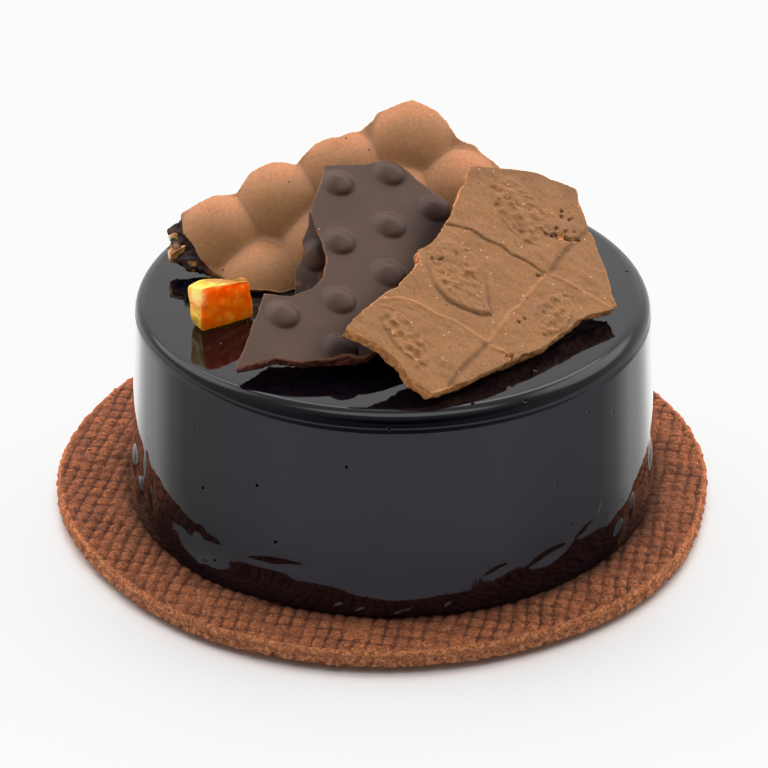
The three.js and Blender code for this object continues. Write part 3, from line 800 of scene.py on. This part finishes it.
def nut_pieces():
    """Angular bits of roasted nut that stand out of the torn end."""
    rng = np.random.default_rng(66)
    origin, axes = slab_frame("milk_bubble_shard")
    work = bmesh.new()
    for place, half_length, turn in NUTS:
        turn = math.radians(turn)
        corners = rng.normal(size=(13, 3))
        corners /= np.linalg.norm(corners, axis=1, keepdims=True)
        corners *= half_length * np.array([1.15, 0.9, 0.75])
        corners = corners @ np.array([[math.cos(turn), math.sin(turn), 0],
                                      [-math.sin(turn), math.cos(turn), 0], [0, 0, 1]])
        verts = [work.verts.new(origin + (np.array(place) + corner) * MM @ axes)
                 for corner in corners]
        bmesh.ops.convex_hull(work, input=verts)
    bmesh.ops.delete(work, geom=[v for v in work.verts if not v.link_faces], context="VERTS")
    mesh = bpy.data.meshes.new("nut_pieces")
    work.to_mesh(mesh)
    work.free()
    piece = add_piece("nut_pieces", mesh, nut_material(), "milk_chocolate")
    mesh.shade_flat()
    return piece


def in_oval(spots, x, y, turn):
    """Places relative to an oval: along and across it."""
    turn = math.radians(turn)
    away = spots - np.array([x, y])
    along = away @ np.array([math.cos(turn), math.sin(turn)])
    across = away @ np.array([-math.sin(turn), math.cos(turn)])
    return along, across


def oval_relief(spots, ovals, shape):
    """Small raised ovals, steep at their lower end and running out softly at the other (mm)."""
    height, shade = np.zeros(len(spots)), np.zeros(len(spots))
    for x, y in ovals:
        along, across = in_oval(spots[:, :2], x, y, shape["turn"])
        s = np.clip(along / (1.08 * shape["half"][0]), -1.3, 1.3)
        t = across / (1.08 * shape["half"][1])
        inside = np.clip(1 - s ** 2 - t ** 2, 0, 1)
        upward = np.clip(0.96 * s + 0.29 * t, -1, 1)
        soft = inside ** (1.3 + 0.75 * upward)
        height = np.maximum(height, shape["height"] * soft)
        lower = smooth_step(-upward, 0.15, 0.9)
        shade = np.maximum(shade, 0.5 * lower * np.exp(-((np.hypot(s, t) - 0.88) / 0.2) ** 2))
    return height, {"shade": shade}


def chip_relief(spots, _):
    """The chip's oval, and its torn and shaded lower part."""
    height, paints = oval_relief(spots, CHIP_OVALS, CHIP_OVAL)
    low = smooth_step(0.6 * spots[:, 0] - spots[:, 1], 0.5, 4.5)
    paints["shade"] = np.maximum(paints["shade"], 0.55 * low)
    paints["torn"] = low * smooth_step(waves(spots, 1.3, 49), 0.2, 0.9)
    return height, paints


def dark_relief(spots, _):
    """The dark slab's ovals, and the shade next to the piece that lies over it."""
    height, paints = oval_relief(spots, DARK_OVALS, DARK_OVAL)
    near = line_distance(spots[:, :2], OVERLAP_LINE)
    paints["shade"] = np.maximum(paints["shade"], 0.95 * np.exp(-(near / 4.2) ** 2))
    return height, paints


def pod_relief(spots, moulded):
    """Panels with a knobbly cocoa fruit in each, and pits where the face has crumbled (mm)."""
    flat = spots * np.array([1, 1, 0])
    face = spots[:, :2]
    height = 0.05 * waves(flat, 2.6, 61) + 0.03 * waves(flat, 1.1, 62)
    # Painted shade goes into the hollows, sunk lines and steps, and a painted highlight onto the
    # raised lines.
    ridge_highlight, dent_shade = np.zeros(len(spots)), np.zeros(len(spots))
    step_line = line_distance(face, PANEL_STEP)
    beyond = inside_outline(face, PANEL_STEP + [(34, 14), (60, 20), (40, 50), (20, 34)])
    height += 0.14 * np.where(beyond, 1, 0) * np.exp(-step_line / 4)
    under_step = np.exp(-((step_line + 0.2) / 0.5) ** 2) * np.where(beyond, 0.3, 1)
    height -= 0.24 * under_step
    dent_shade = np.maximum(dent_shade, 0.75 * under_step)
    for line in SUNK_LINES:
        near = np.exp(-(line_distance(face, line) / 0.45) ** 2)
        height -= 0.28 * near
        dent_shade = np.maximum(dent_shade, 0.6 * near)
    for line in RAISED_LINES:
        near = np.exp(-(line_distance(face, line) / 0.32) ** 2)
        height += 0.13 * near
        ridge_highlight = np.maximum(ridge_highlight, 0.7 * near)
    leaf_edge = line_distance(face, LEAF + LEAF[:1])
    in_leaf = inside_outline(face, LEAF)
    lower = smooth_step(14.5 - face[:, 1] - 0.5 * (face[:, 0] - 16), -5, 4)
    swell = np.where(in_leaf, 0.1 + 0.24 * smooth_step(leaf_edge, 0, 0.5), 0)
    height += swell * (0.45 + 0.55 * lower)
    height -= np.where(in_leaf, 0, 0.14 * np.exp(-(leaf_edge / 0.6) ** 2)) * lower
    # Painted shade along the leaf's lower left edge.
    dent_shade = np.maximum(dent_shade, 0.7 * lower * np.exp(-((leaf_edge - 0.1) / 0.35) ** 2)
                      * np.where(in_leaf, 0.3, 1))
    knobs = in_leaf * smooth_step(leaf_edge, 0.6, 1.6)
    for x, y, half_length, half_width, turn in FRUITS:
        along, across = in_oval(face, x, y, turn)
        s, t = along / half_length, across / half_width
        pointed = t / np.maximum(0.25, 1 - 0.4 * np.abs(s) ** 2.2)
        reach = s ** 2 + pointed ** 2
        body = smooth_step(1 - reach, 0.0, 0.2)
        bowed = t + 0.12 * np.sin(1.3 * along)
        height += body * (0.1 + 0.12 * (1 - reach) + 0.1 * np.cos(2 * math.pi * 1.25 * bowed))
        knobs = np.maximum(knobs, body)
    height += 0.1 * knobs * (waves(flat, 1.15, 65) + 0.5 * waves(flat, 0.55, 68))
    height += 0.02 * waves(flat, 0.5, 69)
    for x, y, half_length, half_width, turn, depth in DENTS:
        along, across = in_oval(face, x, y, turn)
        reach = np.hypot(along / half_length, across / half_width) + 0.25 * waves(flat, 0.8, 66)
        hollow = smooth_step(1.15 - reach, 0, 0.7)
        height -= 0.36 * depth * hollow
        dent_shade = np.maximum(dent_shade, depth * 0.6 * hollow)
    pit = np.zeros(len(spots))
    rough = np.maximum(1 + 0.45 * waves(flat, 0.5, 63), 0.3)
    for x, y, size in PITS:
        away = np.hypot(face[:, 0] - x, face[:, 1] - y) / (0.85 * size * rough)
        hollow = np.exp(-away ** 4)
        height -= (0.3 + 0.2 * waves(flat, 0.45, 67)) * hollow
        pit = np.maximum(pit, smooth_step(hollow, 0.2, 0.8))
    band = 0.2 * np.exp(-(line_distance(face, TOP_BAND) / 1.5) ** 2)
    return height, {"ridge_highlight": ridge_highlight * moulded, "dent_shade": np.clip(dent_shade, 0, 0.7) * moulded,
                    "pit": pit * moulded, "band": band}


def peel():
    """The candied orange: a cut block, its pitted rind to the front and pale pith behind."""
    steps = (44, 22, 36)
    work = bmesh.new()
    grid = {}

    def corner(i, j, k):
        if (i, j, k) not in grid:
            grid[i, j, k] = work.verts.new((2 * i / steps[0] - 1, 2 * j / steps[1] - 1,
                                            2 * k / steps[2] - 1))
        return grid[i, j, k]

    for axis in range(3):
        a, b = [other for other in range(3) if other != axis]
        for end in (0, steps[axis]):
            for p in range(steps[a]):
                for q in range(steps[b]):
                    quad = []
                    for dp, dq in ((0, 0), (1, 0), (1, 1), (0, 1)):
                        key = [0, 0, 0]
                        key[axis], key[a], key[b] = end, p + dp, q + dq
                        quad.append(corner(*key))
                    work.faces.new(quad)
    bmesh.ops.recalc_face_normals(work, faces=work.faces)
    mesh = bpy.data.meshes.new("peel")
    work.to_mesh(mesh)
    work.free()
    u, v, w = get_points(mesh).T

    def kept(a, b):
        return 1 - PEEL["softness"] * (np.abs(a) ** 8 + np.abs(b) ** 8)

    def between(corners, across, inward):
        a, b, c, d = [np.array(one) for one in corners]
        across, inward = ((across + 1) / 2)[:, None], ((inward + 1) / 2)[:, None]
        return (a + (b - a) * across) * (1 - inward) + (d + (c - d) * across) * inward

    across, inward = u * kept(v, w), v * kept(u, w)
    raised = (w * np.where(w > 0, kept(u, v), 1) + 1) / 2
    spots = between(PEEL["foot"], across, inward)
    spots += (between(PEEL["top"], across, inward) - spots) * raised[:, None]
    at, by, spread = PEEL["crest"]
    spots[:, 2] += by * np.exp(-((u - at) / spread) ** 2) * np.maximum(v, 0) * raised
    rind = smooth_step(-v, 0.7, 0.96)
    spots[:, 1] -= rind * (0.1 * waves(spots, 1.2, 71) + 0.04 * waves(spots, 0.5, 72))
    spots += 0.1 * (1 - rind)[:, None] * np.stack([
        waves(spots, 1.6, 73), waves(spots, 1.4, 74), waves(spots, 1.7, 75)], axis=1)
    spots[:, 2] = np.maximum(spots[:, 2], 0)
    spots[:, 2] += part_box("candied_orange_cube")[0].z / MM
    set_points(mesh, spots * MM)
    paint(mesh, "rind", rind)
    # A painted highlight high on the left face.
    glow = ((u + 1) / 0.5) ** 2 + ((v + 0.15) / 0.85) ** 2 + ((w - 0.62) / 0.42) ** 2
    paint(mesh, "pale", 0.55 * np.exp(-glow) * smooth_step(-u, 0.8, 0.97))
    paint(mesh, "upper", 0.85 * smooth_step(w, 0.8, 0.97) * smooth_step(u + 0.4 * v, -0.7, 0.4))
    return add_piece("orange_peel", mesh, peel_material(), "candied_orange",
                     "candied_orange_cube")


def lumps(name, places, sizes, seed, material, slot):
    """Many small irregular grains as one mesh."""
    rng = np.random.default_rng(seed)
    work = bmesh.new()
    for place, size in zip(places, sizes):
        start = len(work.verts)
        bmesh.ops.create_icosphere(work, subdivisions=1, radius=1)
        work.verts.ensure_lookup_table()
        stretch = rng.uniform(0.55, 1.2, 3)
        turn = rng.uniform(0, 2 * math.pi)
        for vert in work.verts[start:]:
            co = np.array(vert.co) * stretch * rng.uniform(0.75, 1.15) * size / 2
            vert.co = Vector((co[0] * math.cos(turn) - co[1] * math.sin(turn) + place[0],
                              co[0] * math.sin(turn) + co[1] * math.cos(turn) + place[1],
                              co[2] + place[2]))
    mesh = bpy.data.meshes.new(name)
    work.to_mesh(mesh)
    work.free()
    return add_piece(name, mesh, material, slot)


def biscuit_crumbs():
    """Golden crumbs, thickest along the biscuit's edge."""
    rng = np.random.default_rng(91)
    places, sizes = [], []
    for x, y, size in LOOSE_CRUMBS:
        places.append((x * MM, y * MM, BISCUIT_TOP - 0.12 * MM))
        sizes.append(size * MM)
    for _ in range(800):
        degrees = rng.uniform(0, 360)
        inset = (abs(rng.normal(0.9, 0.5)) if rng.uniform() < 0.6 else rng.uniform(1, 8)) * MM
        reach = BISCUIT_RADIUS + bulge_at(BISCUIT_BULGES, np.array([degrees]))[0] - inset
        angle = math.radians(degrees)
        spot = np.array([[reach * math.cos(angle), reach * math.sin(angle), BISCUIT_TOP]])
        if np.hypot(*(spot[0, :2] - CAKE_CENTRE[:2])) < CAKE_FOOT + 2.4 * MM:
            continue
        rounded = max(BISCUIT_EDGE - inset, 0)
        dip = BISCUIT_EDGE - math.sqrt(max(BISCUIT_EDGE ** 2 - rounded ** 2, 0))
        size = rng.uniform(0.16, 0.42) * MM
        top = BISCUIT_TOP + biscuit_lift(spot, np.array([inset]))[0] - dip
        places.append((spot[0, 0], spot[0, 1], min(top, BISCUIT_TOP - 0.1 * MM)))
        sizes.append(size)
    return lumps("biscuit_crumbs", places, sizes, 92, crumb_material(), "biscuit")


# ---- surroundings ------------------------------------------------------------------------

def floor():
    reach = 3.0
    corners = [(-reach, -reach, 0), (reach, -reach, 0), (reach, reach, 0), (-reach, reach, 0)]
    mesh = mesh_from("floor", corners, [(0, 1, 2, 3)])
    surface = Surface("pale_floor", Roughness=0.7, Base_Color=(0.85, 0.85, 0.85, 1))
    mesh.materials.append(surface.material)
    piece = bpy.data.objects.new("floor", mesh)
    bpy.context.collection.objects.link(piece)


# Brightness of the tent, how it grows towards the back, and its panels: azimuth from the back
# and elevation (degrees), how narrow along x, y and z, and how much brighter or darker.
TENT = 0.6
TENT_SLOPE = 0.5
PANELS = [
    (4, 47, (2.2, 7, 7), 2.4), (-58, 42, (2.7, 2.7, 2.7), 2.2), (60, 41, (2.7, 2.7, 2.7), 2.2),
    (150, 86, (2.2, 4.5, 2), 2.4), (0, 26, (1.5, 1.5, 3), 0.3), (160, 39, (1.2, 1.3, 5), -0.2),
]
# Where a panel's soft edge begins and ends, as a share of its size.
PANEL_EDGE = (0.6, 1.15)


def sky():
    """A white tent with bright panels behind and overhead, and the dark of the camera."""
    world = bpy.data.worlds.new("studio")
    world.use_nodes = True
    bpy.context.scene.world = world
    nodes = Nodes(world.node_tree)
    direction = nodes.add("TexCoord").outputs["Generated"]

    def vector(operation, first, second):
        return nodes.add("VectorMath", {0: first, 1: second}, operation=operation).outputs

    slope = vector("DOT_PRODUCT", direction, (0, TENT_SLOPE, 0))["Value"]
    light = nodes.add("Math", {0: slope, 1: TENT}).outputs[0]
    for azimuth, elevation, stretch, change in PANELS:
        azimuth, elevation = math.radians(azimuth), math.radians(elevation)
        centre = (math.sin(azimuth) * math.cos(elevation), math.cos(azimuth) * math.cos(elevation),
                  math.sin(elevation))
        away = vector("SUBTRACT", direction, centre)["Vector"]
        scaled = vector("MULTIPLY", away, stretch)["Vector"]
        length = nodes.add("VectorMath", {0: scaled}, operation="LENGTH").outputs["Value"]
        patch = nodes.add("MapRange", {
            "Value": length, "From Min": PANEL_EDGE[0], "From Max": PANEL_EDGE[1],
            "To Min": change, "To Max": 0}, interpolation_type="SMOOTHSTEP").outputs["Result"]
        light = nodes.add("Math", {0: patch, 1: light}).outputs[0]
    background = nodes.tree.nodes["Background"]
    nodes.wire((1, 1, 1, 1), background.inputs["Color"])
    nodes.wire(light, background.inputs["Strength"])


def view():
    """Plain colours; only the lightest tones are drawn together, as on a bright white ground."""
    settings = bpy.context.scene.view_settings
    settings.view_transform = "Standard"
    settings.use_curve_mapping = True
    mapping = settings.curve_mapping
    curve = mapping.curves[3]
    curve.points[-1].location = (1, 0.965)
    for tone in ((0.45, 0.45), (0.6, 0.72), (0.75, 0.89), (0.9, 0.95)):
        curve.points.new(*tone)
    mapping.update()


def camera():
    """The photograph's view: from the front, 32 degrees above the table."""
    distance, elevation, pitch = 414.9 * MM, math.radians(32.03), math.radians(29.82)
    data = bpy.data.cameras.new("camera")
    data.lens = 119.3
    data.sensor_width = 36
    eye = bpy.data.objects.new("camera", data)
    eye.location = (0, -distance * math.cos(elevation), distance * math.sin(elevation))
    eye.rotation_euler = (math.pi / 2 - pitch, 0, 0)
    bpy.context.collection.objects.link(eye)
    bpy.context.scene.camera = eye


view()
camera()
sky()
floor()

biscuit()
biscuit_crumbs()
cake()
dark = dark_material()
dress_slab("milk_bubble_piece", "milk_bubble_shard", milk_material(), "milk_chocolate",
           0.27 * MM, 41, milk_relief, 0.14, milk_settle)
nut_pieces()
dress_slab("dark_bubble_piece", "dark_bubble_shard", dark, "dark_chocolate", 0.22 * MM, 43,
           dark_relief, 0.1)
dress_slab("milk_pod_piece", "milk_pod_shard", pod_material(), "milk_chocolate",
           0.18 * MM, 45, pod_relief, 0.16)
dress_slab("dark_chip_piece", "dark_chip", dark, "dark_chocolate", 0.2 * MM, 47,
           chip_relief, 0.1)
peel()
